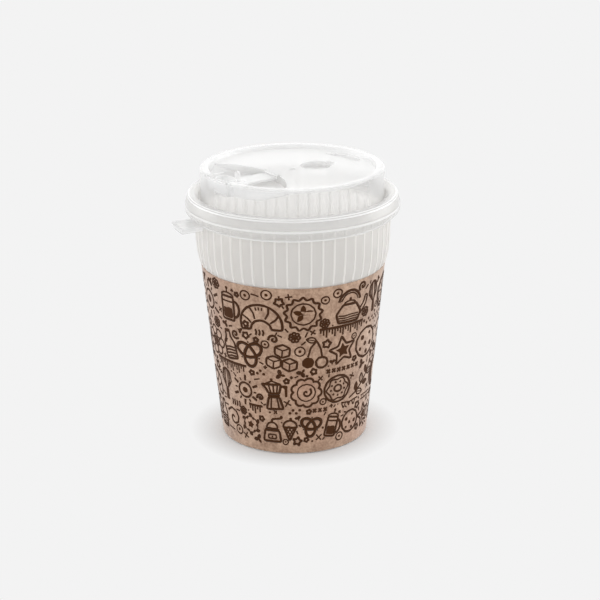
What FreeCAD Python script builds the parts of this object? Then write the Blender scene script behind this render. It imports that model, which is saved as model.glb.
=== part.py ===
import FreeCAD, Part
import math
import os

V = FreeCAD.Vector

# A lidded takeaway cup: an injection-moulded cup with a ribbed grip band, a paper sleeve,
# a press-on sip lid and the lid's flip-over stopper flap. The cup stands on Z = 0 and its
# axis is Z. All sizes are in millimetres, and radii are outside radii unless named inner.

# ---------------------------------------------------------------- driving dimensions
# cup
cup_height = 111.6          # table to the top of the rim
cup_wall = 0.75
foot_r = 32.35
foot_height = 2.4           # the base plate stands this far off the table
foot_wall = 1.1
body_top_r = 40.5           # where the plain taper ends under the shoulder
body_top_drop = 31.2        # its distance below the rim's top
ledge_step = 0.5            # small ledge that the sleeve's top edge tucks under
ledge_rise = 0.35
shoulder_step = 1.75        # the shoulder widens the cup by this much more
shoulder_height = 10.3
knee_step = 1.2             # the shoulder's bend, measured from the ledge
knee_height = 4.75
band_flare = 0.35           # the grip band widens this much towards the rim
rib_count = 52
rib_height = 0.38
rib_width = 0.8
rim_width = 3.15            # rolled rim, beyond the band
rim_drop = 6.0              # height of the roll
rim_top_inset = 0.8         # flat top of the rim, measured outwards from the band
rim_top_width = 1.2
rim_fall = 1.2              # the rim's top falls this much to the cup's inside
rim_flare = 0.2             # the mouth opens this much up to there
rim_side_drop = 4.1         # where the rim's outer slope meets its side

# paper sleeve
sleeve_thick = 0.45
sleeve_gap = 0.1
sleeve_bottom_z = 0.5
sleeve_margin = 0.3         # bare taper left above the sleeve
seam_azimuth = 96.0
seam_width = 11.0           # glued overlap, measured round the cup
seam_lift = 0.27            # the glued edge stands this far off the sheet under it

# lid
lid_wall = 0.9
seat_gap = 0.15             # between the lid and the top of the rim
skirt_gap = 0.3             # between the skirt and the side of the rim
skirt_lip_gap = 0.12        # between the skirt's lip and the ribs
seal_gap = 0.15             # between the seal wall and the cup's inside
skirt_drop = 0.7            # the skirt's side runs this far below the rim's underside
groove_depth = 4.6
groove_width = 0.7
crown_fall = 1.3            # the lid's top falls this much from the crown to the groove
crown_lead = 0.6            # the crown's flat starts this far inside the rim's flat
seal_depth = 9.0
seal_wall = 0.8
seal_lead = 1.0             # chamfer that guides the seal wall into the cup
seal_lead_in = 0.35
dome_rise = 11.0            # crown to the top of the lid's rim
rim_crest_width = 3.7
rim_lean = 0.6
lid_edge_cut = 0.75         # the raised edges are broken this much outside
plate_sink = 1.8            # top plate below the top of the lid's rim

# pull tab on the skirt
tab_azimuth = 203.0
tab_length = 7.5            # beyond the skirt's widest radius
tab_width = 12.6
tab_rise = 1.3              # its top above the skirt's lower edge
tab_depth = 2.9
tab_wall = 0.9
tab_overhang = 0.7
tab_corner_r = 1.6

# sip side; s runs from the axis towards the drinking side and t runs across it
sip_azimuth = 213.0
well_depth = 3.6
well_apex_s = 10.2          # nearest point of the well to the axis
well_arc_r = 37.6
well_flat_half = 21.0       # half-length of the well's level floor
well_ramp = 9.5             # length of the ramp at each of its ends
well_ramp_r = 7.0
pocket_half = 8.2           # pour pocket cut into the lid's rim
pocket_lip = 1.25           # wall left in front of the pocket
pocket_lip_drop = 0.5
pocket_cover = 0.3          # the pocket's wall stops this far under the rim's top
pocket_skin = 0.4           # and this far inside the dome
pocket_start = 0.5          # the pocket begins this far behind the plug
hinge_offset = 0.4          # hinge axis beyond the well's apex
hinge_rise = 0.05           # hinge axis above the plate
hinge_gap = 0.05            # between the two halves of the hinge web
hinge_half = 5.2
hinge_slot = 1.0
hinge_slot_back = 0.6       # the slots run this far into the plate
hinge_land_back = 1.0
web_thick = 0.4
web_length = 0.4            # thin part of the web on the flap's side
web_side_gap = 0.2
arm_thick = 0.85            # upright arm from the web down to the flap
flap_drop = 0.9             # flap's top below the plate's top
flap_thick = 0.9
flap_end_gap = 1.0
flap_neck_half = 5.0
flap_head_half = 6.9
flap_head_length = 9.3
flap_flare = 4.0
flap_neck_r = 3.0
flap_corner_r = 2.6
plug_inset = 4.4            # plug's centre from the flap's outer end
plug_along = 7.4
plug_across = 11.4
plug_wall = 0.8
plug_collar = 2.1           # collar above the flap
plug_through = 1.0          # plug below the lid's floor
plug_draft = 0.25
plug_gap = 0.3              # the drink hole is this much larger all round
lug_inset = 10.2            # lug's centre from the flap's outer end
lug_width = 3.0
lug_thick = 1.3
lug_height = 4.3
lug_taper = 0.2
lug_corner_r = 0.9

# stow socket for the collar of the opened flap
stow_gap = 1.1
stow_clear = 1.3            # below the collar
stow_wall = 0.8
slot_gap = 0.7
slot_clear = 0.7
stow_ear = 2.0
stow_ear_depth = 1.4

# finger recess, vent and gate mark
recess_azimuth = 39.0
recess_half_angle = 11.0
recess_r = 31.8
recess_width = 4.6
recess_depth = 1.3
recess_wall = 0.7
vent_azimuth = 56.0
vent_boss_r = 2.4
vent_boss_rise = 0.35
vent_hole_r = 0.6
gate_r = 1.3
gate_depth = 0.35

# ---------------------------------------------------------------- sizes that follow from them
body_top_z = cup_height - body_top_drop
taper = (body_top_r - foot_r) / body_top_z
ledge_r = body_top_r + ledge_step
ledge_z = body_top_z + ledge_rise
band_bottom_r = ledge_r + shoulder_step
band_bottom_z = ledge_z + shoulder_height
band_top_r = band_bottom_r + band_flare
rim_under_z = cup_height - rim_drop
rim_r = band_top_r + rim_width
rim_top_r = band_top_r + rim_top_inset
cup_inner_r = band_top_r - cup_wall

crown_z = cup_height + seat_gap + lid_wall
rim_slope = (rim_r - rim_top_r - rim_top_width) / rim_side_drop
skirt_r = rim_r + skirt_gap + lid_wall
belly_top_z = cup_height - rim_side_drop
crown_outer_r = skirt_r - rim_slope * (crown_z - belly_top_z)
skirt_lip_r = band_top_r + rib_height + skirt_lip_gap + lid_wall
belly_low_z = rim_under_z - skirt_drop
skirt_lip_z = belly_low_z - (skirt_r - skirt_lip_r)
seal_r = cup_inner_r - seal_gap
groove_outer_r = seal_r - lid_wall
dome_r = groove_outer_r - groove_width
rim_crest_z = crown_z + dome_rise
plate_z = rim_crest_z - plate_sink
rim_inner_r = dome_r - rim_crest_width
plate_r = rim_inner_r - rim_lean

well_floor_z = plate_z - well_depth
pocket_r = dome_r - pocket_lip
hinge_s = well_apex_s + hinge_offset
arm_s = hinge_s + hinge_gap + web_length
flap_end_s = pocket_r - flap_end_gap
flap_top_z = plate_z - flap_drop
flap_under_z = flap_top_z - flap_thick
plug_s = flap_end_s - plug_inset
plug_low_z = well_floor_z - lid_wall - plug_through
lug_s = flap_end_s - lug_inset
stow_s = 2 * hinge_s - plug_s
stow_r = plug_across / 2 + stow_gap
slot_s = 2 * hinge_s - lug_s
stow_depth = plug_collar - flap_drop - 2 * hinge_rise + stow_clear
slot_depth = lug_height - flap_drop - 2 * hinge_rise + slot_clear


# ---------------------------------------------------------------- outlines
def direction(a, b):
    length = math.hypot(b[0] - a[0], b[1] - a[1])
    return (b[0] - a[0]) / length, (b[1] - a[1]) / length


def edges_of(points, place, rounded):
    """Edges along an outline of (x, y, corner); place turns (x, y) into a vector.

    A corner that isn't 0 is rounded to that radius, or else broken by that much each way.
    """
    edges = []
    start = points[0]
    for before, corner, after in zip(points, points[1:], points[2:] + [None]):
        if after is None or corner[2] == 0:
            edges.append(Part.LineSegment(place(start), place(corner)).toShape())
            start = corner
            continue
        back, ahead = direction(corner, before), direction(corner, after)
        half = math.acos(back[0] * ahead[0] + back[1] * ahead[1]) / 2
        reach = corner[2] / math.tan(half) if rounded else corner[2]
        depth = corner[2] / math.sin(half) - corner[2]
        towards = direction((0, 0), (back[0] + ahead[0], back[1] + ahead[1]))
        first, middle, last = [
            (corner[0] + d[0] * k, corner[1] + d[1] * k)
            for d, k in ((back, reach), (towards, depth), (ahead, reach))]
        if math.dist(start[:2], first) > 1e-6:
            edges.append(Part.LineSegment(place(start), place(first)).toShape())
        if rounded:
            edges.append(Part.Arc(place(first), place(middle), place(last)).toShape())
        else:
            edges.append(Part.LineSegment(place(first), place(last)).toShape())
        start = last
    return edges


def offset_path(path, distance):
    """The same open outline moved to its right, with its corners grown or shrunk to match."""
    sides = []
    for a, b in zip(path, path[1:]):
        along = direction(a, b)
        sides.append((along[1], -along[0]))
    moved = []
    for i, (x, y, radius) in enumerate(path):
        a, b = sides[max(i - 1, 0)], sides[min(i, len(sides) - 1)]
        scale = distance / (1 + a[0] * b[0] + a[1] * b[1])
        turns_left = a[0] * b[1] - a[1] * b[0] > 0
        grown = radius + (distance if turns_left else -distance)
        moved.append((x + (a[0] + b[0]) * scale, y + (a[1] + b[1]) * scale,
                      max(grown, 0) if radius else 0))
    return moved


def in_section(p):
    return V(p[0], 0, p[1])


def revolved(outline, angle=360):
    """Solid from a closed (r, z, broken corner) outline turned about the cup's axis."""
    face = Part.Face(Part.Wire(edges_of(outline + [outline[0]], in_section, False)))
    return face.revolve(V(0, 0, 0), V(0, 0, 1), angle)


def revolved_skin(path, thickness):
    """Wall of even thickness on the right of an open (r, z, broken corner) path."""
    return revolved(path + offset_path(path, thickness)[::-1])


def prism(outline, place, along):
    """Solid from a closed outline with rounded corners, pushed along a vector."""
    seam = ((outline[0][0] + outline[-1][0]) / 2, (outline[0][1] + outline[-1][1]) / 2, 0)
    return Part.Face(Part.Wire(edges_of([seam] + outline + [seam], place, True))).extrude(along)


def in_plan(z):
    return lambda p: V(p[0], p[1], z)


def across(s):
    return lambda p: V(s, p[0], p[1])


def disc(radius, z_low, z_high, s=0.0):
    return Part.makeCylinder(radius, z_high - z_low, V(s, 0, z_low))


def block(s_low, s_high, t_low, t_high, z_low, z_high):
    size = (s_high - s_low, t_high - t_low, z_high - z_low)
    return Part.makeBox(size[0], size[1], size[2], V(s_low, t_low, z_low))


def turned(shape, azimuth):
    result = shape.copy()
    result.rotate(V(0, 0, 0), V(0, 0, 1), azimuth)
    return result


def joined(shapes):
    return shapes[0].fuse(shapes[1:]).removeSplitter()


# ---------------------------------------------------------------- cup
def band_outline():
    """Outside of the shoulder and the grip band, from the ledge up to the rim."""
    return [
        (ledge_r, ledge_z, 0),
        (ledge_r + knee_step, ledge_z + knee_height, 0),
        (band_bottom_r, band_bottom_z, 0),
        (band_top_r, rim_under_z, 0)]


def rib_fin():
    """One upright rib, rooted in the wall, over the shoulder and the band."""
    crest = offset_path(band_outline(), rib_height)
    root = offset_path(band_outline(), -cup_wall / 2)
    angle = math.degrees(rib_width / band_top_r)
    return turned(revolved(crest + root[::-1], angle), -angle / 2)


def make_cup():
    outside = [
        (0, foot_height, 0),
        (foot_r + taper * foot_height, foot_height, 0),
        (body_top_r, body_top_z, 0)] + band_outline()
    inside = offset_path(outside, -cup_wall)[:-1] + [
        (cup_inner_r, rim_under_z, 0),
        (cup_inner_r + rim_flare, cup_height - rim_fall, 0),
        (rim_top_r, cup_height, 0),
        (rim_top_r + rim_top_width, cup_height, 0),
        (rim_r, cup_height - rim_side_drop, 0),
        (rim_r, rim_under_z, 0)]
    shell = revolved_skin(inside, cup_wall)
    joint_z = 2 * (foot_height + cup_wall)
    foot = revolved([
        (foot_r - foot_wall, 0, 0),
        (foot_r, 0, 0),
        (foot_r + taper * joint_z, joint_z, 0),
        (foot_r + taper * joint_z - cup_wall / 2, joint_z, 0),
        (foot_r - foot_wall, foot_height + cup_wall / 2, 0)])
    ribs = [turned(rib_fin(), 360 * (i + 0.5) / rib_count) for i in range(rib_count)]
    return joined([shell, foot] + ribs)


# ---------------------------------------------------------------- paper sleeve
def make_sleeve():
    """One folded blank round the tapered wall, with its glued overlap at the back."""
    top_z = body_top_z - sleeve_margin
    inner_low = foot_r + taper * sleeve_bottom_z + sleeve_gap
    inner_top = foot_r + taper * top_z + sleeve_gap
    sheet = revolved([
        (inner_low, sleeve_bottom_z, 0),
        (inner_low + sleeve_thick, sleeve_bottom_z, 0),
        (inner_top + sleeve_thick, top_z, 0),
        (inner_top, top_z, 0)])
    overlap = revolved([
        (inner_low + seam_lift, sleeve_bottom_z, 0),
        (inner_low + seam_lift + sleeve_thick, sleeve_bottom_z, 0),
        (inner_top + seam_lift + sleeve_thick, top_z, 0),
        (inner_top + seam_lift, top_z, 0)], math.degrees(seam_width / inner_top))
    return sheet.fuse(turned(overlap, seam_azimuth))


# ---------------------------------------------------------------- lid
def lid_shell():
    """Plate, raised rim, dome wall, groove, crown and skirt as one even skin."""
    return revolved_skin([
        (0, plate_z, 0),
        (plate_r, plate_z, 0),
        (rim_inner_r, rim_crest_z, 0),
        (dome_r, rim_crest_z, lid_edge_cut),
        (dome_r, crown_z - groove_depth, 0),
        (groove_outer_r, crown_z - groove_depth, 0),
        (groove_outer_r, crown_z - crown_fall, 0),
        (rim_top_r - crown_lead, crown_z, 0),
        (crown_outer_r, crown_z, lid_edge_cut),
        (skirt_r, belly_top_z, 0),
        (skirt_r, belly_low_z, 0),
        (skirt_lip_r, skirt_lip_z, 0)], lid_wall)


def seal_ring():
    low = crown_z - seal_depth
    top = crown_z - groove_depth
    return revolved([
        (seal_r - seal_wall, low, 0),
        (seal_r - seal_lead_in, low, 0),
        (seal_r, low + seal_lead, 0),
        (seal_r, top, 0),
        (seal_r - seal_wall, top, 0)])


def pull_tab():
    """Hollow thumb tab standing out of the skirt's lower edge."""
    top_z = skirt_lip_z + tab_rise
    start, end = skirt_lip_r - lid_wall / 3, skirt_r + tab_length
    half = tab_width / 2

    def plate(inset, low, high):
        corner_r = max(tab_corner_r - inset, 0)
        outline = [
            (start, -half + inset, 0),
            (end - inset, -half + inset, corner_r),
            (end - inset, half - inset, corner_r),
            (start, half - inset, 0)]
        return prism(outline, in_plan(low), V(0, 0, high - low))

    walls = plate(tab_overhang, top_z - tab_depth, top_z - tab_wall / 2)
    hollow = plate(tab_overhang + tab_wall, top_z - tab_depth, top_z - tab_wall)
    return plate(0, top_z - tab_wall, top_z).fuse(walls.cut(hollow))


def well_solid(grown):
    """Lens-shaped sip well; grown by the wall it is the shell that the well is cut from."""
    path = [
        (-well_flat_half - well_ramp, plate_z, 0),
        (-well_flat_half, well_floor_z, well_ramp_r),
        (well_flat_half, well_floor_z, well_ramp_r),
        (well_flat_half + well_ramp, plate_z, 0)]
    path = offset_path(path, grown)
    top = plate_z if grown else plate_z + 1
    outline = [(path[0][0], top, 0)] + path + [(path[-1][0], top, 0)]
    channel = prism(outline, across(0), V(dome_r, 0, 0))
    low = well_floor_z - grown
    arc = disc(well_arc_r + grown, low, top, well_apex_s + well_arc_r)
    return channel.common(arc).common(disc(plate_r + grown, low, top))


def pour_pocket(grown):
    """Recess behind the drinking lip, through the inner side of the lid's rim."""
    low = well_floor_z - grown
    half = pocket_half + grown
    top = rim_crest_z - pocket_cover if grown else rim_crest_z + 1
    start = plug_s - plug_along / 2 - pocket_start
    radius = dome_r - pocket_skin if grown else pocket_r
    return block(start, dome_r, -half, half, low, top).common(disc(radius, low, top))


def stow_socket(grown):
    """Round socket, lug slot and finger ear that take the opened flap."""
    def low(depth):
        return plate_z - depth - grown
    top = plate_z if grown else plate_z + 1
    slot_half_s = lug_thick / 2 + slot_gap + grown
    slot_half_t = lug_width / 2 + slot_gap + grown
    far = stow_s - stow_r
    return joined([
        disc(stow_r + grown, low(stow_depth), top, stow_s),
        block(slot_s - slot_half_s, slot_s + slot_half_s, -slot_half_t, slot_half_t,
              low(slot_depth), top),
        block(far - stow_ear - grown, far + 1, -slot_half_t, slot_half_t,
              low(stow_ear_depth), top)])


def finger_recess(grown):
    half = recess_width / 2 + grown
    low = plate_z - recess_depth - grown
    top = plate_z if grown else plate_z + 1
    section = [
        (recess_r - half, low, 0),
        (recess_r + half, low, 0),
        (recess_r + half, top, 0),
        (recess_r - half, top, 0)]
    sweep = turned(revolved(section, 2 * recess_half_angle), -recess_half_angle)
    ends = [turned(disc(half, low, top, recess_r), sign * recess_half_angle) for sign in (-1, 1)]
    return turned(joined([sweep] + ends), recess_azimuth)


def hinge_land():
    """Straight edge of the plate that the flap's web hangs from."""
    return block(well_apex_s - hinge_land_back, hinge_s - hinge_gap, -hinge_half, hinge_half,
                 plate_z - lid_wall, plate_z)


def hinge_slots():
    """Two short slots that free the hinge from the plate on either side."""
    back = well_apex_s - hinge_slot_back
    low = plate_z - 2 * lid_wall
    return [block(back, arm_s + arm_thick, t, t + hinge_slot, low, plate_z + 1)
            for t in (-hinge_half - hinge_slot, hinge_half)]


def drink_hole():
    return plug_post(plug_gap, plug_low_z, well_floor_z + lid_wall / 2, 0)


def make_lid():
    shells = [turned(s, sip_azimuth) for s in (
        well_solid(lid_wall), pour_pocket(lid_wall), stow_socket(stow_wall), hinge_land())]
    vent = disc(vent_boss_r, plate_z - lid_wall, plate_z + vent_boss_rise, recess_r)
    body = joined([lid_shell(), seal_ring(), turned(pull_tab(), tab_azimuth)] + shells
                  + [finger_recess(recess_wall), turned(vent, vent_azimuth)])
    lip = block(pocket_r - lid_wall, dome_r + 1, -pocket_half, pocket_half,
                rim_crest_z - pocket_lip_drop, rim_crest_z + 1)
    cuts = [turned(s, sip_azimuth) for s in [
        well_solid(0), pour_pocket(0), stow_socket(0), drink_hole(), lip] + hinge_slots()]
    hole = disc(vent_hole_r, plate_z - 2 * lid_wall, plate_z + 1, recess_r)
    gate = disc(gate_r, plate_z - gate_depth, plate_z + 1)
    return body.cut(cuts + [finger_recess(0), turned(hole, vent_azimuth), gate])


# ---------------------------------------------------------------- flap
def plug_post(grown, z_low, z_high, draft):
    """Oval post on the plug's centre, its long way across; draft narrows the lower end."""
    def ring(shrink, z):
        r = plug_along / 2 + grown - shrink
        half = (plug_across - plug_along) / 2
        a, b = V(plug_s + r, -half, z), V(plug_s + r, half, z)
        c, d = V(plug_s - r, half, z), V(plug_s - r, -half, z)
        return Part.Wire([
            Part.LineSegment(a, b).toShape(),
            Part.Arc(b, V(plug_s, half + r, z), c).toShape(),
            Part.LineSegment(c, d).toShape(),
            Part.Arc(d, V(plug_s, -half - r, z), a).toShape()])
    if draft:
        return Part.makeLoft([ring(draft, z_low), ring(0, z_high)], True, True)
    return Part.Face(ring(0, z_low)).extrude(V(0, 0, z_high - z_low))


def make_flap():
    """Stopper flap: hinge web, tongue, hollow oval plug with its collar, and thumb lug."""
    head_start = flap_end_s - flap_head_length
    tongue = prism([
        (arm_s, -flap_neck_half, 0),
        (head_start - flap_flare, -flap_neck_half, flap_neck_r),
        (head_start, -flap_head_half, flap_neck_r),
        (flap_end_s, -flap_head_half, flap_corner_r),
        (flap_end_s, flap_head_half, flap_corner_r),
        (head_start, flap_head_half, flap_neck_r),
        (head_start - flap_flare, flap_neck_half, flap_neck_r),
        (arm_s, flap_neck_half, 0)], in_plan(flap_under_z), V(0, 0, flap_thick))
    web_half = hinge_half - web_side_gap
    web = block(hinge_s + hinge_gap, arm_s + arm_thick, -web_half, web_half,
                plate_z - web_thick, plate_z)
    arm = block(arm_s, arm_s + arm_thick, -web_half, web_half, flap_under_z, plate_z)
    collar_top = flap_top_z + plug_collar
    plug = [plug_post(0, plug_low_z, flap_under_z, plug_draft),
            plug_post(0, flap_under_z, collar_top, 0)]
    lug = prism([
        (-lug_width / 2, flap_under_z, 0),
        (lug_width / 2, flap_under_z, 0),
        (lug_width / 2 - lug_taper, flap_top_z + lug_height, lug_corner_r),
        (lug_taper - lug_width / 2, flap_top_z + lug_height, lug_corner_r)],
        across(lug_s - lug_thick / 2), V(lug_thick, 0, 0))
    hollow = plug_post(-plug_wall, plug_low_z + plug_wall, collar_top, plug_draft)
    return turned(joined([tongue, web, arm, lug] + plug).cut(hollow), sip_azimuth)


# ---------------------------------------------------------------- build
os.makedirs("parts", exist_ok=True)
makers = {"cup": make_cup, "sleeve": make_sleeve, "lid": make_lid, "sip_flap": make_flap}
for node, make in makers.items():
    make().exportStep("parts/" + node + ".step")
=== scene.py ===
import bmesh
import bpy
import math
import random
from mathutils import Matrix, Vector
from mathutils.kdtree import KDTree


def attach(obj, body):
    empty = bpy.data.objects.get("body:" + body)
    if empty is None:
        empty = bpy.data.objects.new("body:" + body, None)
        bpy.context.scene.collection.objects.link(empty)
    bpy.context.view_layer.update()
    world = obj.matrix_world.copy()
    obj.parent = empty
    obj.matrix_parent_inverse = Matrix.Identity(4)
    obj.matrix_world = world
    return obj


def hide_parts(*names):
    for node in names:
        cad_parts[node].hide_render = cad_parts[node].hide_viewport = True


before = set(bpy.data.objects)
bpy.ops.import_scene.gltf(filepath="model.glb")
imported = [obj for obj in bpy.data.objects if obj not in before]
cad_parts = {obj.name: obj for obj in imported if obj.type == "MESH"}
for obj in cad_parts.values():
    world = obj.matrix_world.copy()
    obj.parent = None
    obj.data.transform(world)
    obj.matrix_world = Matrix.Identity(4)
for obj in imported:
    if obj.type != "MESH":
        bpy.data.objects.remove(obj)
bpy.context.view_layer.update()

# ---------------------------------------------------------------- cup
# The cup is one injection moulding of natural polypropylene: a thin tapered wall on a foot
# ring, a rounded shoulder, and a ribbed grip band under the rolled rim. The wall is milky
# and lets blurred light through. Along the ribs the wall is less clear and whiter, partly for their thicker
# plastic and partly as a painted highlight that shows them as brighter lines.
MM = 0.001
RIBS = 52
RIB_MIDDLE_Z, RIB_HALF_HEIGHT = 0.0935, 0.012


class Field:
    """A shader value that adds its Math nodes when it is used in an expression."""

    def __init__(self, tree, socket):
        self.tree = tree
        self.socket = socket

    def math(self, operation, *others):
        return self.tree.node("ShaderNodeMath", {"operation": operation}, self, *others)

    def __add__(self, other):
        return self.math("ADD", other)

    def __radd__(self, other):
        return self.math("ADD", other)

    def __sub__(self, other):
        return self.math("SUBTRACT", other)

    def __rsub__(self, other):
        return (self * -1.0) + other

    def __mul__(self, other):
        return self.math("MULTIPLY", other)


class Finish:
    """A material whose Principled shader takes plain numbers or fields for its sockets."""

    def __init__(self, name, **sockets):
        self.material = bpy.data.materials.new(name)
        self.material.use_nodes = True
        self.nodes = self.material.node_tree.nodes
        self.links = self.material.node_tree.links
        self.shader = self.nodes["Principled BSDF"]
        self.set(**sockets)

    def set(self, **sockets):
        for name, value in sockets.items():
            self.feed(self.shader.inputs[name.replace("_", " ")], value)

    def feed(self, socket, value):
        if isinstance(value, Field):
            self.links.new(value.socket, socket)
        else:
            socket.default_value = value

    def node(self, kind, settings, *values, output=0, **named):
        made = self.nodes.new(kind)
        for name, value in settings.items():
            setattr(made, name, value)
        for socket, value in zip(made.inputs, values):
            self.feed(socket, value)
        for name, value in named.items():
            self.feed(made.inputs[name], value)
        return Field(self, made.outputs[output])

    def place(self):
        """Position on the object, in metres."""
        coordinates = self.nodes.new("ShaderNodeTexCoord")
        return Field(self, coordinates.outputs["Object"])

    def xyz(self, vector=None):
        split = self.nodes.new("ShaderNodeSeparateXYZ")
        self.feed(split.inputs[0], vector or self.place())
        return [Field(self, socket) for socket in split.outputs]

    def noise(self, scale, detail=2.0, stretch=(1, 1, 1)):
        spot = self.node("ShaderNodeMapping", {}, self.place(), Scale=stretch)
        return self.node("ShaderNodeTexNoise", {}, Vector=spot, Scale=scale, Detail=detail)

    def ramp(self, value, low, high):
        return self.node("ShaderNodeMapRange", {}, value, low, high)

    def stripe(self, value, middle, half, soft):
        """1 within half of the middle, falling to 0 over the soft width beyond."""
        return 1.0 - self.ramp((value - middle).math("ABSOLUTE"), half, half + soft)

    def blend(self, amount, first, second):
        mix = self.nodes.new("ShaderNodeMix")
        mix.data_type = "RGBA"
        for index, value in ((0, amount), (6, first), (7, second)):
            self.feed(mix.inputs[index], value)
        return Field(self, mix.outputs[2])

    def bump(self, height, strength, distance):
        return self.node("ShaderNodeBump", {}, Strength=strength, Distance=distance, Height=height)


def tone(red, green, blue):
    """Scene colour of a colour given in screen values from 0 to 255."""
    def linear(value):
        value /= 255
        return value / 12.92 if value <= 0.04045 else ((value + 0.055) / 1.055) ** 2.4
    return (linear(red), linear(green), linear(blue), 1.0)


def moulded_copy(node, name, rounding):
    """A copy of a CAD node with its loose triangles joined up and its edges rounded off."""
    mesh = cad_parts[node].data.copy()
    shape = bmesh.new()
    shape.from_mesh(mesh)
    bmesh.ops.remove_doubles(shape, verts=shape.verts, dist=0.004 * MM)
    bmesh.ops.dissolve_limit(shape, angle_limit=math.radians(1), verts=shape.verts, edges=shape.edges)
    shape.to_mesh(mesh)
    shape.free()
    mesh.materials.clear()
    mesh.shade_smooth()
    piece = bpy.data.objects.new(name, mesh)
    bpy.context.collection.objects.link(piece)
    edge = piece.modifiers.new("rounding", "BEVEL")
    edge.width = rounding
    edge.segments = 2
    edge.limit_method = "ANGLE"
    edge.angle_limit = math.radians(28)
    edge.use_clamp_overlap = False
    shading = piece.modifiers.new("even_shading", "WEIGHTED_NORMAL")
    shading.weight = 90
    return piece


def let_light_through(finish, color, through, clear, shine, fade=0.25, dim_edge_on=0.0, dim=0.0):
    """Mixes in light that the wall scatters through itself and light that passes unbent, takes
    off what a thick wall soaks up, and lays the surface's own gloss over them. A wall that is
    seen edge-on is less clear, darker and glossier."""
    scatter = finish.nodes.new("ShaderNodeBsdfTranslucent")
    scatter.inputs["Color"].default_value = color
    pass_by = finish.nodes.new("ShaderNodeBsdfTransparent")
    soak_up = finish.nodes.new("ShaderNodeBsdfTransparent")
    soak_up.inputs["Color"].default_value = (0.5, 0.5, 0.49, 1)
    gloss = finish.nodes.new("ShaderNodeBsdfAnisotropic")
    gloss.inputs["Color"].default_value = (0.85, 0.85, 0.85, 1)
    gloss.inputs["Roughness"].default_value = finish.shader.inputs["Roughness"].default_value
    turned = finish.node("ShaderNodeLayerWeight", {}, 0.5, output=1)
    edge_on = turned.math("POWER", 3.0)
    layer = finish.shader
    for amount, added in ((through, scatter),
                          (clear - edge_on * fade, pass_by),
                          (edge_on * dim_edge_on + dim, soak_up),
                          (turned.math("POWER", 5.0) * shine + 0.02, gloss)):
        mix = finish.nodes.new("ShaderNodeMixShader")
        finish.feed(mix.inputs[0], amount)
        finish.links.new(layer.outputs[0], mix.inputs[1])
        finish.links.new(added.outputs[0], mix.inputs[2])
        layer = mix
    finish.links.new(layer.outputs[0], finish.nodes["Material Output"].inputs["Surface"])


milky = Finish("frosted_cup_plastic", Base_Color=(0.97, 0.957, 0.937, 1), Roughness=0.35, IOR=1.49)
x, y, z = milky.xyz()
turn = y.math("ARCTAN2", x) * (RIBS / math.tau)
# Painted highlight: the ribs are made less clear and whiter so they show as bright lines, partly for their
# thicker plastic.
rib_highlight = (milky.stripe(turn.math("FRACT"), 0.5, 0.06, 0.03)
       * milky.stripe(z, RIB_MIDDLE_Z, RIB_HALF_HEIGHT, 0.001))
low = milky.ramp(z, 0.1, 0.082)
let_light_through(milky, (0.97, 0.957, 0.937, 1), 0.62 - rib_highlight * 0.25, 0.29 + low * 0.05 - rib_highlight * 0.15,
                  shine=0.4)

cup = moulded_copy("cup", "moulded_cup", 0.12 * MM)
cup.data.materials.append(milky.material)
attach(cup, "cup_body")
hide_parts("cup")

# ---------------------------------------------------------------- sleeve
# A blank of brown kraft board, rolled round the cup's taper and glued at the back. Its
# surface is uncoated, with a fine felt of fibres and a faint cloudiness.
kraft = Finish("kraft_board", Roughness=0.85, Sheen_Weight=0.5, Sheen_Roughness=0.5)
cloud = kraft.ramp(kraft.noise(110, 3.0), 0.35, 0.65)
grain = kraft.ramp(kraft.noise(480, 3.0, (1, 1, 0.6)), 0.3, 0.7)
fleck = kraft.ramp(kraft.noise(1000, 2.0), 0.35, 0.65)
pulp = kraft.blend(cloud * 0.3 + grain * 0.35 + fleck * 0.35, tone(128, 93, 70), tone(204, 171, 145))
ruddy = kraft.ramp(kraft.noise(45, 2.0), 0.5, 0.75) * 0.4
kraft.set(Base_Color=kraft.blend(ruddy, pulp, tone(178, 130, 106)))
kraft.set(Normal=kraft.bump(kraft.noise(1500, 3.0), 0.4, 0.05 * MM))

sleeve = moulded_copy("sleeve", "kraft_sleeve", 0.08 * MM)
sleeve.data.materials.append(kraft.material)
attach(sleeve, "cup_body")
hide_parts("sleeve")

# ---------------------------------------------------------------- sleeve print
# The sleeve is printed in one dark brown ink with hand-drawn kitchen and bakery doodles,
# strips of ornament between them and small marks in the gaps. It is drawn flat, with x
# round the sleeve from its front and y up from the table, and then wrapped on the cone.
SHEET_R = 37.0
SHEET_START, SHEET_END = -101.0, 118.0
SHEET_LOW, SHEET_HIGH = 6.0, 77.0
FRONT = math.radians(270)
SLEEVE_FOOT_R = 32.9
SLEEVE_TAPER = 0.1014
INK_LIFT = 0.05
INK_THICKNESS = 0.06
hand = random.Random(5)


def arc(x, y, wide, high, start, end, count=9):
    """Points of an elliptical arc, with its ends in degrees."""
    turns = [math.radians(start + (end - start) * i / (count - 1)) for i in range(count)]
    return [(x + wide * math.cos(turn), y + high * math.sin(turn)) for turn in turns]


def ring(x, y, wide, high=None, count=12):
    return arc(x, y, wide, high or wide, 0, 360 - 360 / count, count)


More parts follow.
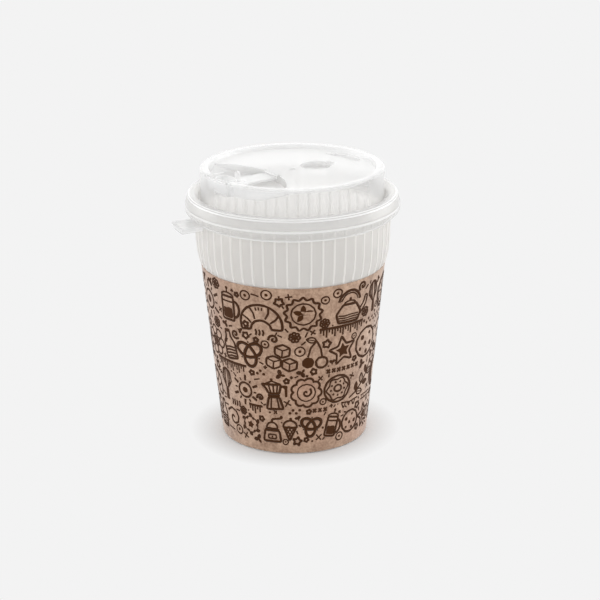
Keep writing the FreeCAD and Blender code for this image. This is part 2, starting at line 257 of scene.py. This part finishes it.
class Pen:
    """Marks drawn in a doodle's own units, about 10 high, and placed on the flat sheet."""

    def __init__(self):
        self.strokes = bpy.data.curves.new("drawn_strokes", "CURVE")
        self.strokes.dimensions = "3D"
        self.strokes.bevel_depth = 1.0
        self.strokes.bevel_resolution = 0
        self.strokes.use_fill_caps = True
        self.shapes = bpy.data.curves.new("drawn_shapes", "CURVE")
        self.shapes.dimensions = "2D"
        self.shapes.fill_mode = "FRONT"
        self.marks = []

    def at(self, x, y, size=1.0, tilt=0.0):
        self.place = Matrix.Translation((x, y, 0)) @ Matrix.Rotation(math.radians(tilt), 4, "Z")
        self.place = self.place @ Matrix.Scale(size, 4)

    def draw(self, curve, points, closed, width):
        """One spline, with points added along its long sides and a slight unsteadiness."""
        corners = [(self.place @ Vector((x, y, 0))).to_2d() for x, y in points]
        run = []
        for a, b in zip(corners, corners[1:] + corners[:1] if closed else corners[1:]):
            steps = max(math.ceil((b - a).length / 1.7), 2 if len(corners) == 2 else 1)
            for i in range(steps):
                shake = Vector((hand.gauss(0, 0.05), hand.gauss(0, 0.05)))
                run.append(a.lerp(b, i / steps) + shake)
        if not closed:
            run.append(corners[-1])
        spline = curve.splines.new("NURBS")
        spline.points.add(len(run) - 1)
        for point, spot in zip(spline.points, run):
            point.co = (spot.x, spot.y, 0, 1)
            point.radius = 0.8 * width * hand.uniform(0.88, 1.12)
        spline.use_cyclic_u = closed
        spline.use_endpoint_u = not closed
        spline.order_u = 3
        spline.resolution_u = 2
        self.marks += run

    def line(self, points, width=0.5):
        self.draw(self.strokes, points, False, width)

    def loop(self, points, width=0.5):
        self.draw(self.strokes, points, True, width)

    def fill(self, points):
        self.draw(self.shapes, points, True, 1.0)

    def dot(self, x, y, radius=0.4):
        self.fill(ring(x, y, radius, count=7))


def moka_pot(pen):
    pen.loop([(-2.8, -5), (2.8, -5), (1.7, -0.9), (-1.7, -0.9)], 0.75)
    for x in (-0.9, 0.9):
        pen.line([(x * 1.5, -4.7), (x, -1)])
    pen.fill([(-2, -0.8), (2, -0.8), (2, 0.2), (-2, 0.2)])
    pen.loop([(-1.7, 0.3), (-2.5, 2.2), (-3.8, 3.4), (2.6, 3.4), (1.7, 0.3)], 0.75)
    for x in (-1.2, 0, 1.2):
        pen.line([(x * 0.8, 0.6), (x * 1.2, 3.1)])
    pen.line([(-2.6, 3.5), (-0.4, 4.6), (2.4, 3.5)])
    pen.dot(-0.4, 5.1, 0.5)
    pen.fill([(2.7, 3.2), (4.6, 3.1), (4.3, -0.9), (3.5, -0.9), (3.6, 2.2), (2.5, 2.3)])


def kettle(pen):
    pen.loop([(-3.2, -4.6), (3.2, -4.6), (4.1, -2), (2.2, 0.8), (-2.2, 0.8), (-4.1, -2)], 0.75)
    pen.line([(3.9, -1.2), (5.2, 0.4), (5.6, 2.4), (6.5, 2.2), (6.1, -0.4), (4, -3)], 0.6)
    pen.loop(arc(0, 0.9, 1.9, 1, 0, 180, 7), 0.5)
    pen.dot(0, 2.4, 0.5)
    pen.line(arc(0, 1, 3.6, 4, 12, 168), 0.8)
    pen.line(arc(0, 1, 2.9, 3.2, 16, 164), 0.4)
    for y in (-3.8, -3.1, -2.4):
        pen.line([(-3.3, y), (-1.2, y - 0.2), (0.8, y), (3.2, y - 0.1)], 0.4)


def coffee_press(pen):
    pen.loop([(-2.2, -5), (2.2, -5), (2.2, 2.4), (-2.2, 2.4)], 0.7)
    pen.fill([(-1.7, -4.4), (1.7, -4.4), (1.7, -1.2), (0.5, -0.9), (-0.6, -1.3), (-1.7, -1)])
    pen.line([(-2.2, 0.9), (2.2, 0.9)])
    pen.loop(arc(0, 2.5, 2.4, 1.2, 0, 180, 7))
    pen.line([(0, 3.6), (0, 4.8)])
    pen.dot(0, 5.1, 0.6)
    pen.line(arc(2.2, -1.2, 1.9, 2.6, -80, 80), 0.8)


def croissant(pen):
    pen.loop(arc(0, -3, 5.6, 5.8, -14, 194, 13) + arc(0, -4.2, 2.8, 2.6, 180, 0, 7), 0.7)
    for turn in (28, 62, 118, 152):
        near = arc(0, -3.8, 2.9, 2.9, turn, turn + 1, 2)[0]
        far = arc(0, -3, 5.4, 5.6, turn, turn + 1, 2)[0]
        pen.line([near, ((near[0] + far[0]) / 2 + 0.4, (near[1] + far[1]) / 2), far], 0.55)
    for turn in (80, 90, 100):
        near = arc(0, -3, 4, 4.2, turn, turn + 1, 2)[0]
        far = arc(0, -3, 5, 5.1, turn, turn + 1, 2)[0]
        pen.line([near, far], 0.45)


def donut(pen):
    pen.loop(ring(0, 0, 4.8, 4.5, 14), 0.7)
    pen.loop(ring(0, 0.2, 1.4, 1.2, 8), 0.6)
    turns = [math.tau * i / 24 for i in range(24)]
    pen.loop([((3.7 + 0.45 * math.sin(6 * t)) * math.cos(t), (3.5 + 0.45 * math.sin(6 * t)) * math.sin(t))
              for t in turns], 0.5)
    for i in range(9):
        x, y = arc(0, 0.1, 2.5, 2.3, 40 * i, 40 * i + 1, 2)[0]
        pen.line([(x - 0.35 * math.cos(i * 2.0), y - 0.35 * math.sin(i * 2.0)),
                  (x + 0.35 * math.cos(i * 2.0), y + 0.35 * math.sin(i * 2.0))], 0.6)


def cupcake(pen):
    pen.loop([(-3, -0.8), (-2.1, -5), (2.1, -5), (3, -0.8)], 0.7)
    for x in (-1.5, -0.5, 0.5, 1.5):
        pen.line([(x * 1.35, -1), (x, -4.8)], 0.45)
    pen.line(arc(-2.2, -0.2, 1.6, 1.7, 200, 50, 6) + arc(0, 1.3, 1.9, 1.8, 170, 10, 6)
             + arc(2.2, -0.2, 1.6, 1.7, 130, -20, 6), 0.65)
    pen.dot(0, 4, 0.85)
    pen.line([(0.2, 4.6), (0.9, 5.6)], 0.4)


def cake_slice(pen):
    pen.loop([(-4.6, -4), (4, -4), (4, 0.4), (-4.6, 0.4)], 0.65)
    pen.line([(-4.6, 0.4), (2.6, 3.2), (4, 0.4)], 0.65)
    pen.fill([(-4.4, -2.4), (3.8, -2.4), (3.8, -1.4), (-4.4, -1.4)])
    for x in (-3.4, -1.6, 0.4, 2.4):
        pen.dot(x, -3.3, 0.25)
    pen.dot(1.6, 4, 0.8)
    pen.line([(-2.9, 0.4), (-2.6, -0.7), (-1.9, 0.4), (-0.9, -0.9), (0.1, 0.4), (1, -0.6), (1.8, 0.4)], 0.5)


def leaf(pen, x, y, length, turn, solid):
    """One pointed leaf, solid or with a midrib, from its stalk's end."""
    outline = []
    for along, across in ((0, 0), (0.3, 0.26), (0.65, 0.24), (1, 0), (0.65, -0.24), (0.3, -0.26)):
        c, s = math.cos(math.radians(turn)), math.sin(math.radians(turn))
        outline.append((x + length * (along * c - across * s), y + length * (along * s + across * c)))
    if solid:
        pen.fill(outline)
    else:
        pen.loop(outline, 0.45)
        pen.line([outline[0], outline[3]], 0.3)


def sprig(pen):
    stem = [(-4.4, -4), (-2, -2.4), (0.4, -0.2), (2.4, 2.4), (3.4, 4.8)]
    pen.line(stem, 0.55)
    for i, (x, y) in enumerate(stem[1:4]):
        leaf(pen, x, y, 3.3, 95 + 12 * i, i % 2 == 0)
        leaf(pen, x + 0.3, y - 0.1, 3.3, -5 + 12 * i, i % 2 == 1)
    leaf(pen, 3.4, 4.6, 2.4, 65, True)


def wreath(pen):
    pen.loop(ring(0, 0, 3.6, 3.6, 14), 0.4)
    for i in range(12):
        x, y = arc(0, 0, 3.6, 3.6, 30 * i, 30 * i + 1, 2)[0]
        leaf(pen, x, y, 1.9, 30 * i + (55 if i % 2 else 125), i % 2 == 0)
    star(pen, 2.1, solid=True)


def star(pen, size=4.8, solid=False, tips=5, depth=0.46):
    outline = []
    for i in range(2 * tips):
        far = size if i % 2 == 0 else size * depth
        outline.append(arc(0, 0, far, far, 90 + 180 * i / tips, 91, 2)[0])
    if solid:
        pen.fill(outline)
    else:
        pen.loop(outline, 0.65)


def double_star(pen):
    star(pen, 5)
    star(pen, 2.7, solid=True)


def sun(pen):
    pen.loop(ring(0, 0, 2.5, 2.5, 12), 0.65)
    pen.dot(0, 0, 1.1)
    for i in range(12):
        end = 5.2 if i % 2 else 4.2
        near = arc(0, 0, 3.2, 3.2, 30 * i, 30 * i + 1, 2)[0]
        far = arc(0, 0, end, end, 30 * i, 30 * i + 1, 2)[0]
        pen.line([near, far], 0.75 if i % 2 else 0.5)


def seal(pen):
    star(pen, 5.3, tips=13, depth=0.8)
    pen.loop(ring(0, 0, 3.3, 3.3, 12), 0.45)
    for turn in (18, 90, 162, 234, 306):
        leaf(pen, 0, 0, 2.9, turn, turn % 4 == 2)


def scallop(pen):
    rim = []
    for turn in range(0, 360, 40):
        x, y = arc(0, 0, 3.6, 3.6, turn, 360, 2)[0]
        rim += arc(x, y, 1.6, 1.6, turn - 80, turn + 80, 5)
    pen.loop(rim, 0.65)
    pen.loop(ring(0, 0, 3.0, 3.0, 12), 0.4)
    pen.line([(0.24 * t * math.cos(0.9 * t), 0.24 * t * math.sin(0.9 * t)) for t in range(9)], 0.6)


def swirl(pen):
    pen.line([(0.42 * t * math.cos(0.8 * t), 0.42 * t * math.sin(0.8 * t)) for t in range(12)], 0.7)


def moon(pen):
    pen.fill(arc(0, 0, 4.4, 4.6, 55, 305, 11) + arc(1.9, 0, 3.2, 3.9, 285, 75, 9))
    for x, y in ((2.2, 1.6), (3.9, -0.6), (1.8, -1.7)):
        pen.dot(x, y, 0.35)


def flower(pen):
    for i in range(7):
        x, y = arc(0, 0, 3.1, 3.1, 360 * i / 7, 360, 2)[0]
        pen.loop(ring(x, y, 1.5, 1.5, 8), 0.55)
    pen.dot(0, 0, 1.5)


def coffee_mill(pen):
    pen.loop([(-3.6, -5), (3.6, -5), (2.9, -0.6), (-2.9, -0.6)], 0.7)
    pen.loop([(-1.6, -3.9), (1.6, -3.9), (1.5, -2.2), (-1.5, -2.2)], 0.5)
    pen.dot(0, -3.05, 0.4)
    pen.fill([(-3, -0.5), (3, -0.5), (3, 0.2), (-3, 0.2)])
    pen.loop(arc(0, 0.2, 2.3, 2.6, 0, 180, 8), 0.6)
    pen.line([(0, 2.8), (0, 4), (3.6, 4.6)], 0.7)
    pen.dot(3.8, 5, 0.7)


def whisk(pen):
    for wide in (0.7, 1.5, 2.3):
        pen.loop([(-0.4, -1.2), (-wide, 1.4), (-wide * 0.7, 4.2), (0, 5), (wide * 0.7, 4.2), (wide, 1.4),
                  (0.4, -1.2)], 0.45)
    pen.fill([(-0.6, -1.1), (0.6, -1.1), (0.8, -4.8), (-0.8, -4.8)])


def milk_bottle(pen):
    pen.loop([(-2.3, -5), (2.3, -5), (2.3, 0.4), (1, 2.4), (1, 4.2), (-1, 4.2), (-1, 2.4), (-2.3, 0.4)], 0.7)
    pen.fill([(-1.2, 4), (1.2, 4), (1.2, 5), (-1.2, 5)])
    for i in range(4):
        pen.line([(-1.9, -4.2 + i), (-0.3, -4 + i), (1.9, -4.3 + i)], 0.5)
    pen.line([(-1.6, 0.4), (-0.7, 1.7)], 0.4)


def cookie(pen):
    pen.loop(ring(0, 0, 4.3, 4.2, 11), 0.7)
    for x, y, r in ((-1.8, 1.5, 0.8), (1.4, 2.2, 0.6), (2.2, -0.9, 0.8), (-0.4, -0.4, 0.7), (-2.4, -1.6, 0.6),
                    (0.4, -2.8, 0.7)):
        pen.dot(x, y, r)


def knot(pen):
    turns = [math.tau * i / 26 for i in range(26)]
    pen.loop([(1.6 * (math.sin(t) + 2 * math.sin(2 * t)), 1.6 * (math.cos(t) - 2 * math.cos(2 * t)))
              for t in turns], 1.0)
    for turn in (90, 210, 330):
        x, y = arc(0, 0, 4.6, 4.6, turn, 360, 2)[0]
        pen.dot(x * 0.78, y * 0.78, 0.35)


def lemon(pen):
    pen.loop(ring(0, 0, 4.5, 4.5, 13), 0.8)
    pen.loop(ring(0, 0, 3.7, 3.7, 12), 0.4)
    for i in range(8):
        far = arc(0, 0, 3.5, 3.5, 45 * i, 360, 2)[0]
        pen.line([(far[0] * 0.12, far[1] * 0.12), far], 0.45)


def ice_cone(pen):
    pen.loop([(-2.6, 0.2), (0, -5.6), (2.6, 0.2)], 0.7)
    for k in (0.25, 0.5, 0.75):
        pen.line([(-2.6 + 2.6 * k, 0.2 - 5.8 * k), (-2.6 + 5.2 * (k + 0.1), 0.2)], 0.4)
        pen.line([(2.6 - 2.6 * k, 0.2 - 5.8 * k), (2.6 - 5.2 * (k + 0.1), 0.2)], 0.4)
    pen.loop(arc(0, 0.6, 2.9, 2.7, -8, 188, 10) + [(-1.5, -0.2), (-0.6, 0.6), (0.6, -0.2), (1.6, 0.5)], 0.65)
    pen.dot(0.2, 4, 0.7)


def sugar_cubes(pen):
    for x, y in ((-2.2, -1.6), (2.2, -1.9), (0, 2)):
        pen.loop([(x - 2, y + 0.8), (x, y + 1.7), (x + 2, y + 0.8),
                  (x + 2, y - 1.3), (x, y - 2.3), (x - 2, y - 1.3)], 0.6)
        pen.line([(x - 2, y + 0.8), (x, y - 0.1), (x + 2, y + 0.8)], 0.45)
        pen.line([(x, y - 0.1), (x, y - 2.2)], 0.45)


def spoon(pen):
    handle = [(-0.4, -1), (-0.7, -4.6), (0, -5.2), (0.7, -4.6), (0.4, -1)]
    pen.loop(arc(0, 2.9, 1.7, 2.2, -75, 255, 10) + handle, 0.6)
    pen.line(arc(0, 3, 0.9, 1.3, 100, 200, 5), 0.4)


def cherries(pen):
    pen.dot(-1.8, -2.6, 1.9)
    pen.loop(ring(2.2, -3, 1.8, 1.8, 9), 0.65)
    pen.line([(-1.8, -0.8), (-0.9, 2), (0.9, 4.2), (2.1, 1.2), (2.3, -1.2)], 0.55)
    leaf(pen, 0.9, 4.1, 3.2, 165, False)


def bunting(pen, length):
    pen.line([(0, 1.4), (length / 2, 0.7), (length, 1.4)], 0.5)
    for i in range(int(length / 3.2)):
        x = 0.3 + 3.2 * i
        flag = [(x, 1.1), (x + 2.6, 1.1), (x + 1.3, -1.7)]
        if i % 2:
            pen.fill(flag)
        else:
            pen.loop(flag, 0.45)


def diamonds(pen, length):
    for i in range(int(length / 3.4)):
        x = 1.7 + 3.4 * i
        pen.loop([(x - 1.5, 0), (x, 1.6), (x + 1.5, 0), (x, -1.6)], 0.5)
        pen.dot(x, 0, 0.4)


def herringbone(pen, length):
    for i in range(int(length / 1.6)):
        x = 1.6 * i
        pen.line([(x, 1.4), (x + 0.9, 0), (x, -1.4)], 0.6)


def stitches(pen, length):
    for y in (-0.9, 0.9):
        pen.line([(0, y), (length, y)], 0.45)
    for i in range(int(length / 2)):
        pen.dot(1 + 2 * i, 0, 0.35)


def checks(pen, length):
    for i in range(int(length / 1.5)):
        y = 0.75 if i % 2 else -0.75
        pen.fill([(1.5 * i, y - 0.7), (1.5 * i + 1.4, y - 0.7), (1.5 * i + 1.4, y + 0.7), (1.5 * i, y + 0.7)])


def fringe(pen, length):
    pen.line([(0, 1.5), (length, 1.5)], 0.75)
    for i in range(int(length / 1.3)):
        pen.line([(0.6 + 1.3 * i, 1.3), (0.6 + 1.3 * i, -0.4 - 1.1 * (i % 3))], 0.5)


def crosses(pen, length):
    for i in range(int(length / 2.6)):
        x = 1.3 + 2.6 * i
        pen.line([(x - 0.8, -0.9), (x + 0.8, 0.9)], 0.6)
        pen.line([(x - 0.8, 0.9), (x + 0.8, -0.9)], 0.6)


pen = Pen()
rows = [
    (68.3, 1.70, [donut, moka_pot, sprig, sun, coffee_press, croissant, seal, kettle, whisk, lemon,
                  scallop, cupcake, moon]),
    (49.0, 1.60, [coffee_mill, wreath, cake_slice, spoon, ice_cone, flower, milk_bottle, knot,
                  sugar_cubes, cherries, double_star, cookie, swirl]),
    (30.0, 1.55, [lemon, kettle, star, cupcake, seal, croissant, whisk, sun, moka_pot, scallop, donut, sprig,
                  moon]),
    (12.8, 1.24, [knot, coffee_press, cookie, double_star, cake_slice, spoon, sugar_cubes, flower,
                  milk_bottle, swirl, wreath, coffee_mill, ice_cone])]
widths = {kettle: 14.5, croissant: 12, sugar_cubes: 9.5, cake_slice: 9.8, sprig: 10, donut: 10, knot: 10,
          sun: 10.4, seal: 10.9, scallop: 10.7, wreath: 10.4, moka_pot: 9.5, lemon: 9.6, cookie: 9.2,
          flower: 9.6, swirl: 9, coffee_mill: 8.6, star: 9.4, double_star: 9.6, moon: 8, cherries: 8,
          coffee_press: 7.6, cupcake: 7.4, ice_cone: 6.6, milk_bottle: 5.4, whisk: 5.4, spoon: 4.2}
kept_clear = []
for row, (level, size, doodles) in enumerate(rows):
    x, turn = SHEET_START, 0
    while True:
        doodle = doodles[(turn + row) % len(doodles)]
        scale = size * hand.uniform(0.86, 1.08)
        half = widths[doodle] * scale / 2
        if x + 2 * half > SHEET_END:
            break
        pen.at(x + half, level + hand.uniform(-1.2, 1.2), scale, hand.uniform(-13, 13))
        doodle(pen)
        kept_clear.append((x + half, level, half, 5 * scale))
        x += 2 * half + hand.uniform(-0.3, 0.8)
        turn += 1


def marks_tree():
    """Everything drawn so far, for finding how much room there is round a spot."""
    tree = KDTree(len(pen.marks))
    for i, mark in enumerate(pen.marks):
        tree.insert(mark.to_3d(), i)
    tree.balance()
    return tree


# A strip of ornament runs along between two rows for as long as it has room.
drawn_marks = marks_tree()
strips = (bunting, stitches, diamonds, herringbone, fringe, checks, crosses)
turn = 0
for level in (58.8, 39.6, 21.2):
    x = start = SHEET_START
    while x < SHEET_END:
        spots = [Vector((x, level + y, 0)) for y in (-1.2, 0, 1.2)]
        if min(drawn_marks.find(spot)[2] for spot in spots) > 1.3 and x - start < 24:
            x += 0.5
            continue
        if x - start > 6:
            pen.at(start + 0.6, level, 1.0)
            strips[turn % len(strips)](pen, x - start - 1.8)
            turn += 1
        x += 0.5
        start = x


def dotted_ring(pen):
    pen.loop(ring(0, 0, 4.4, 4.4, 9), 0.42)
    pen.dot(0, 0, 1.5)


def buds(pen):
    for turn in (90, 210, 330):
        leaf(pen, 0, 0, 5, turn, turn == 90)


def cross_mark(pen):
    pen.line([(-4.5, 0), (4.5, 0)], 0.45)
    pen.line([(0, -4.5), (0, 4.5)], 0.45)


def dash(pen):
    pen.line([(-4.5, 0), (4.5, 0)], 0.45)


def speck(pen):
    pen.dot(0, 0, 2.6)


# Small motifs and marks fill the gaps, the larger ones first.
drawn_marks = marks_tree()
pen.marks = [Vector((0, 0))]
for least, fillers in ((2.6, [star, dotted_ring, buds, flower, swirl]),
                       (1.9, [dotted_ring, buds, cross_mark, star]),
                       (1.25, [speck, dash, dash, cross_mark])):
    for _ in range(4000):
        spot = Vector((hand.uniform(SHEET_START, SHEET_END), hand.uniform(SHEET_LOW, SHEET_HIGH)))
        room = drawn_marks.find(spot.to_3d())[2]
        inside = any(((spot.x - x) / wide) ** 2 + ((spot.y - y) / high) ** 2 < 0.95
                     for x, y, wide, high in kept_clear)
        if room < least or inside:
            continue
        room = min(room, min((mark - spot).length for mark in pen.marks))
        if room > least:
            pen.at(spot.x, spot.y, min(room - 0.55, 2.6) / 5, hand.uniform(0, 360))
            hand.choice(fillers)(pen)


drawn = bmesh.new()
for curve in (pen.strokes, pen.shapes):
    flat = bpy.data.objects.new(curve.name, curve)
    drawn.from_mesh(bpy.data.meshes.new_from_object(flat))
    bpy.data.objects.remove(flat)
for _ in range(3):
    long_edges = [edge for edge in drawn.edges if edge.calc_length() > 2.2]
    bmesh.ops.subdivide_edges(drawn, edges=long_edges, cuts=1)
bmesh.ops.triangulate(drawn, faces=[face for face in drawn.faces if len(face.verts) > 4])
for vert in drawn.verts:
    turn = FRONT + vert.co.x / SHEET_R
    out = SLEEVE_FOOT_R + SLEEVE_TAPER * vert.co.y + INK_LIFT + INK_THICKNESS * vert.co.z
    vert.co = Vector((out * math.cos(turn), out * math.sin(turn), vert.co.y)) * MM
print_mesh = bpy.data.meshes.new("sleeve_print")
drawn.to_mesh(print_mesh)
drawn.free()
sleeve_print = bpy.data.objects.new("sleeve_print", print_mesh)
bpy.context.collection.objects.link(sleeve_print)
ink = Finish("brown_ink", Base_Color=tone(69, 38, 12), Roughness=0.8, Specular_IOR_Level=0.12,
             Sheen_Weight=0.05, Sheen_Roughness=0.5)
print_mesh.materials.append(ink.material)
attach(sleeve_print, "cup_body")

# ---------------------------------------------------------------- lid
# The lid is a second moulding of the same plastic, thinner and clearer than the cup, with a
# satin top. It is pressed on over the cup's rim, and its rounded edges and bends carry
# painted highlights: bands that are whiter and less clear than its walls, partly for the
# thicker plastic there. The hollow pull tab is darker.
clear = Finish("frosted_lid_plastic", Base_Color=(0.98, 0.98, 0.978, 1), Roughness=0.25, IOR=1.49)
x, y, z = clear.xyz()
out = (x * x + y * y).math("SQRT")
# Heights z and distances out from the axis are in metres.
# Painted highlights: thin bands at the crown's edges, round the skirt's bend and along the lip are made
# whiter and less clear, partly for the thicker plastic there.
crown_edge_highlight = clear.stripe(z, 0.1126, 0.0004, 0.0002) + clear.stripe(z, 0.1115, 0.0002, 0.0002)
bend_highlight = clear.stripe(z, 0.1071, 0.0004, 0.0002)
lip_highlight = clear.ramp(out, 0.0435, 0.0437) * clear.stripe(z, 0.1019, 0.0009, 0.0002)
# edge gathers all the painted highlight bands on the lid's outside.
edge = clear.ramp(out, 0.0454, 0.0457) * crown_edge_highlight + clear.ramp(out, 0.0466, 0.0468) * bend_highlight + lip_highlight
upper = clear.ramp(z, 0.1076, 0.108)
inner = clear.ramp(out, 0.0395, 0.038)
skirt = clear.ramp(out, 0.0458, 0.0464)
skirt_end = clear.ramp(z, 0.1052, 0.1047)
tab = clear.ramp(out, 0.048, 0.0482)
let_light_through(clear, (0.98, 0.98, 0.978, 1), 0.34 - upper * 0.14 - edge * 0.2,
                  0.75 + skirt_end * 0.06 + skirt * 0.02 - upper * skirt * 0.06 - inner * 0.19 - edge * 0.52,
                  shine=0.25, fade=0.25 - inner * 0.2, dim_edge_on=skirt * 0.2, dim=tab * 0.08)

lid = moulded_copy("lid", "press_lid", 0.2 * MM)
lid.data.materials.append(clear.material)
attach(lid, "lid_body")
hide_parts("lid")

# ---------------------------------------------------------------- stopper flap
# The flap hangs from the lid's plate by its living hinge and is pressed into the sip well.
flap = moulded_copy("sip_flap", "stopper_flap", 0.12 * MM)
flap.data.materials.append(clear.material)
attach(flap, "flap_body")
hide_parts("sip_flap")

# ---------------------------------------------------------------- floor, light and camera
# The cup stands on a plain pale surface that shines back softly beyond its shadow. The room
# is pale all round, and four wide lamps stand over, behind and on both sides of the cup.
floor_mesh = bpy.data.meshes.new("floor")
ground = bmesh.new()
bmesh.ops.create_grid(ground, x_segments=1, y_segments=1, size=4.0)
ground.to_mesh(floor_mesh)
ground.free()
floor = bpy.data.objects.new("floor", floor_mesh)
bpy.context.collection.objects.link(floor)

pale = Finish("pale_floor", Base_Color=(0.73, 0.73, 0.73, 1), Roughness=1.0, Specular_IOR_Level=0.0)
backdrop = tone(243, 243, 243)
glow = pale.nodes.new("ShaderNodeEmission")
glow.inputs["Color"].default_value = backdrop
reach = pale.node("ShaderNodeVectorMath", {"operation": "LENGTH"}, pale.place(), output=1)
blend_in = pale.nodes.new("ShaderNodeMixShader")
pale.feed(blend_in.inputs[0], pale.ramp(reach, 0.031, 0.048))
pale.links.new(pale.shader.outputs[0], blend_in.inputs[1])
pale.links.new(glow.outputs[0], blend_in.inputs[2])
pale.links.new(blend_in.outputs[0], pale.nodes["Material Output"].inputs["Surface"])
floor_mesh.materials.append(pale.material)

world = bpy.data.worlds.new("studio")
bpy.context.scene.world = world
world.use_nodes = True
sky = world.node_tree.nodes["Background"]
sky.inputs["Color"].default_value = backdrop
sky.inputs["Strength"].default_value = 1.04

for name, place, size, energy in (("top_box", (0.05, 0.12, 1.3), 1.4, 0.85),
                                  ("back_box", (0.1, 1.2, 0.2), 1.5, 4.2),
                                  ("left_box", (-0.95, 0.3, 0.3), 0.8, 2.5),
                                  ("right_box", (0.95, 0.3, 0.3), 0.8, 3.4)):
    lamp = bpy.data.lights.new(name, "AREA")
    lamp.shape = "DISK"
    lamp.size = size
    lamp.energy = energy
    box = bpy.data.objects.new(name, lamp)
    bpy.context.collection.objects.link(box)
    box.location = place
    box.rotation_euler = (Vector((0, 0, 0.06)) - box.location).to_track_quat("-Z", "Y").to_euler()

lens = bpy.data.cameras.new("camera")
lens.sensor_width = 36.0
lens.lens = 107.0
lens.shift_x = 0.0108
camera = bpy.data.objects.new("camera", lens)
bpy.context.collection.objects.link(camera)
tilt_down = math.radians(19.32)
roll = math.radians(-0.55)
camera.matrix_world = (Matrix.Translation((0, -0.7577, 0.3266))
                       @ Matrix.Rotation(math.pi / 2 - tilt_down, 4, "X")
                       @ Matrix.Rotation(roll, 4, "Z"))
bpy.context.scene.camera = camera
bpy.context.scene.view_settings.view_transform = "Standard"
